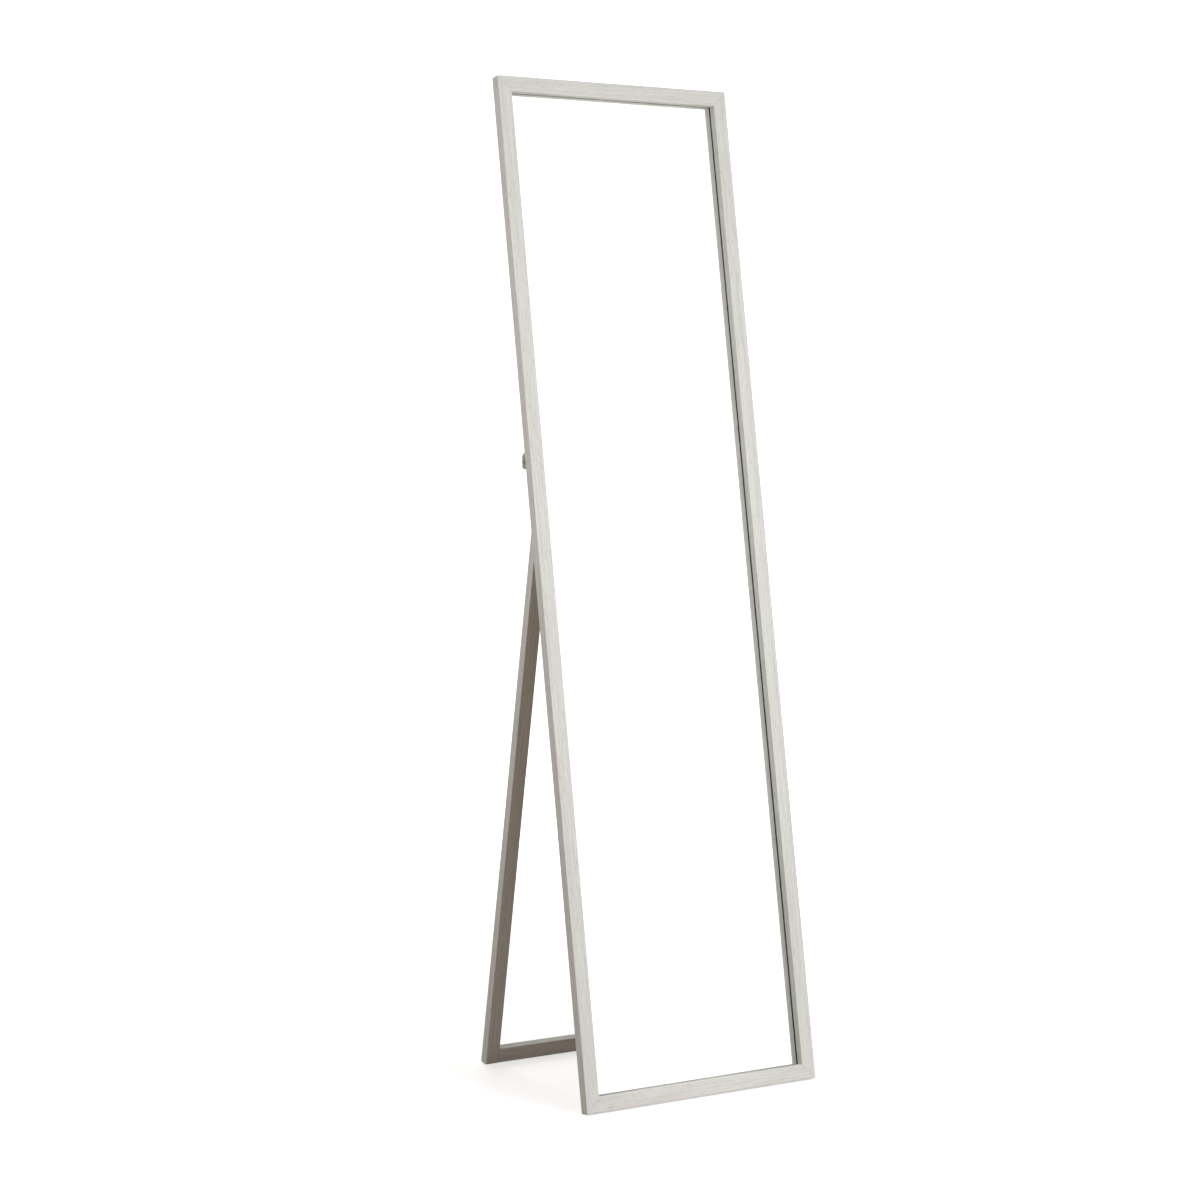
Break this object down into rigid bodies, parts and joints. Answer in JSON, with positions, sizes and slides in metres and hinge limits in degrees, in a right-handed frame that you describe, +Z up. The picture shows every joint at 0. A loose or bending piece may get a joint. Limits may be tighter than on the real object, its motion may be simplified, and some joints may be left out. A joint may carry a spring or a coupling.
{
  "type": "easel-back floor mirror",
  "caption": "Tall leaning floor mirror in a thin square-edged washed wood frame, held up by a folding rear leg frame pivoted between steel brackets.",
  "frame": {"origin": "on the floor under the centre of the whole standing object, midway between the mirror's front bottom edge and the rear of the leg frame's foot", "axes": "+Z up; the mirror faces -Y; +X is the right-hand side as seen from the front"},
  "size_m": [0.408, 0.3628, 1.5022],
  "materials": {
    "washed_wood": "pale grey limed wash over fine straight grain, matt",
    "dowel_wood": "plain beech, unfinished",
    "mirror_plate": "float glass silvered on its back",
    "hardboard": "smooth brown hardboard",
    "zinc_steel": "zinc plated, satin",
    "coated_steel": "mid grey satin coat on steel",
    "insert_brass": "turned brass",
    "washer_nylon": "natural nylon",
    "bumper_rubber": "black rubber, matt"
  },
  "bodies": {
    "mirror": {"left_stile": "washed_wood", "right_stile": "washed_wood", "top_rail": "washed_wood", "bottom_rail": "washed_wood", "mitre_dowels": "dowel_wood", "mirror_glass": "mirror_plate", "backing_board": "hardboard", "turn_buttons": "zinc_steel", "button_screws": "zinc_steel", "left_pivot_bracket": "coated_steel", "right_pivot_bracket": "coated_steel", "bracket_screws": "zinc_steel", "fold_bumpers": "bumper_rubber"},
    "leg": {"left_leg": "washed_wood", "right_leg": "washed_wood", "leg_top_rail": "washed_wood", "leg_bottom_rail": "washed_wood", "leg_dowels": "dowel_wood", "lap_screws": "zinc_steel", "pivot_inserts": "insert_brass", "pivot_screws": "coated_steel", "pivot_washers": "washer_nylon"}
  },
  "joints": [
    {"name": "leg_fold", "type": "hinge", "parent": "mirror", "child": "leg", "pos_m": [0, -0.0019, 0.93458], "axis": [-1, 0, 0], "range_deg": [0, 19.92]}
  ]
}
